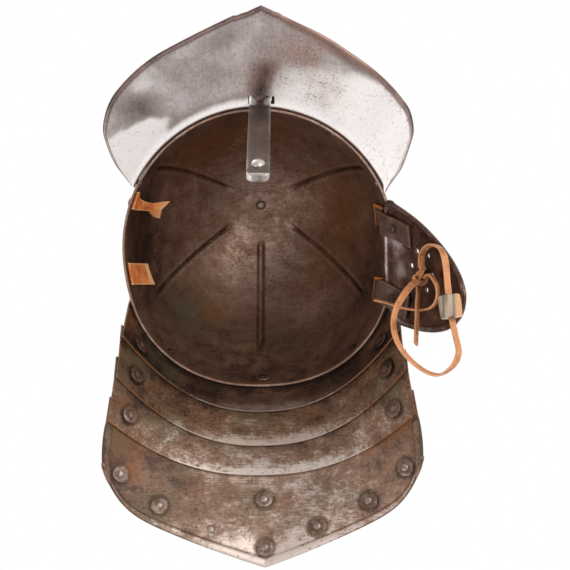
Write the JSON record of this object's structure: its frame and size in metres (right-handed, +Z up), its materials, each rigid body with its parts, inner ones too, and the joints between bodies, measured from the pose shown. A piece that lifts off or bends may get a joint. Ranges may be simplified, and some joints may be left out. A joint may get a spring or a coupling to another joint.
{
  "type": "lobster-tail helmet",
  "caption": "Steel cavalry helmet with a fluted skull, pointed peak, sliding nasal bar, a tail of overlapping riveted lames and one cheek-piece hung on leather straps.",
  "frame": {"origin": "centre of the skull's rim opening, in the rim's plane", "axes": "+X to the wearer's left, +Y to the back, +Z up to the crown; the peak points along -Y"},
  "size_m": [0.262, 0.3997, 0.3259],
  "materials": {
    "dark_steel": "aged brown patina",
    "bright_steel": "worn polish",
    "brown_leather": "aged",
    "tan_leather": "dry",
    "horn": "polished horn"
  },
  "bodies": {
    "skull_body": {"skull": "dark_steel", "crown_rosette": "dark_steel", "crown_finial": "dark_steel", "peak": "bright_steel", "peak_rivets": "bright_steel", "nasal_bracket": "dark_steel", "bracket_rivets": "dark_steel", "tail_lame_1": "dark_steel", "lame_1_rivets": "dark_steel", "lame_1_washer": "dark_steel", "pivot_rivets_2": "dark_steel", "pivot_washers_2": "dark_steel", "strap_skull_front": "brown_leather", "strap_skull_rear": "brown_leather", "strap_skull_rivets": "dark_steel", "stub_front": "tan_leather", "stub_rear": "tan_leather", "stub_rivets": "dark_steel"},
    "nasal": {"nasal_bar": "bright_steel", "nasal_knob": "bright_steel"},
    "clamp_screw": {"set_screw": "dark_steel"},
    "lame_2": {"tail_lame_2": "dark_steel", "pivot_rivets_3": "dark_steel", "pivot_washers_3": "dark_steel"},
    "lame_3": {"tail_lame_3": "dark_steel", "pivot_rivets_4": "dark_steel", "pivot_washers_4": "dark_steel"},
    "lame_4": {"tail_lame_4": "dark_steel", "edge_rivets": "dark_steel", "edge_washers": "dark_steel"},
    "cheek": {"cheek_plate": "dark_steel", "strap_cheek_front": "brown_leather", "strap_cheek_rear": "brown_leather", "strap_cheek_rivets": "dark_steel", "thong_loop": "tan_leather", "thong_knot": "tan_leather", "thong_ends": "tan_leather"},
    "toggle": {"thong_toggle": "horn"}
  },
  "joints": [
    {"name": "nasal_slide", "type": "slide", "parent": "skull_body", "child": "nasal", "axis": [0, -0.0698, 0.9976], "range_m": [0, 0.034]},
    {"name": "screw_turn", "type": "hinge", "parent": "skull_body", "child": "clamp_screw", "pos_m": [0.0012, -0.11631, 0.02968], "axis": [0, -0.9976, -0.0698], "range_deg": [0, 180]},
    {"name": "lame_2_hinge", "type": "hinge", "parent": "skull_body", "child": "lame_2", "pos_m": [0.00167, 0.06818, -0.0156], "axis": [0.9997, -0.0244, 0], "range_deg": [0, 5]},
    {"name": "lame_3_hinge", "type": "hinge", "parent": "lame_2", "child": "lame_3", "pos_m": [0.00203, 0.08288, -0.0403], "axis": [0.9997, -0.0244, 0], "range_deg": [0, 5]},
    {"name": "lame_4_hinge", "type": "hinge", "parent": "lame_3", "child": "lame_4", "pos_m": [0.00259, 0.10607, -0.0635], "axis": [0.9997, -0.0244, 0], "range_deg": [0, 5]},
    {"name": "cheek_hinge", "type": "hinge", "parent": "skull_body", "child": "cheek", "pos_m": [0.0902, 0, -0.003], "axis": [0, 1, 0], "range_deg": [-12, 25]},
    {"name": "toggle_slide", "type": "slide", "parent": "cheek", "child": "toggle", "axis": [0.131, 0.9027, -0.4099], "range_m": [-0.002, 0.002]}
  ]
}
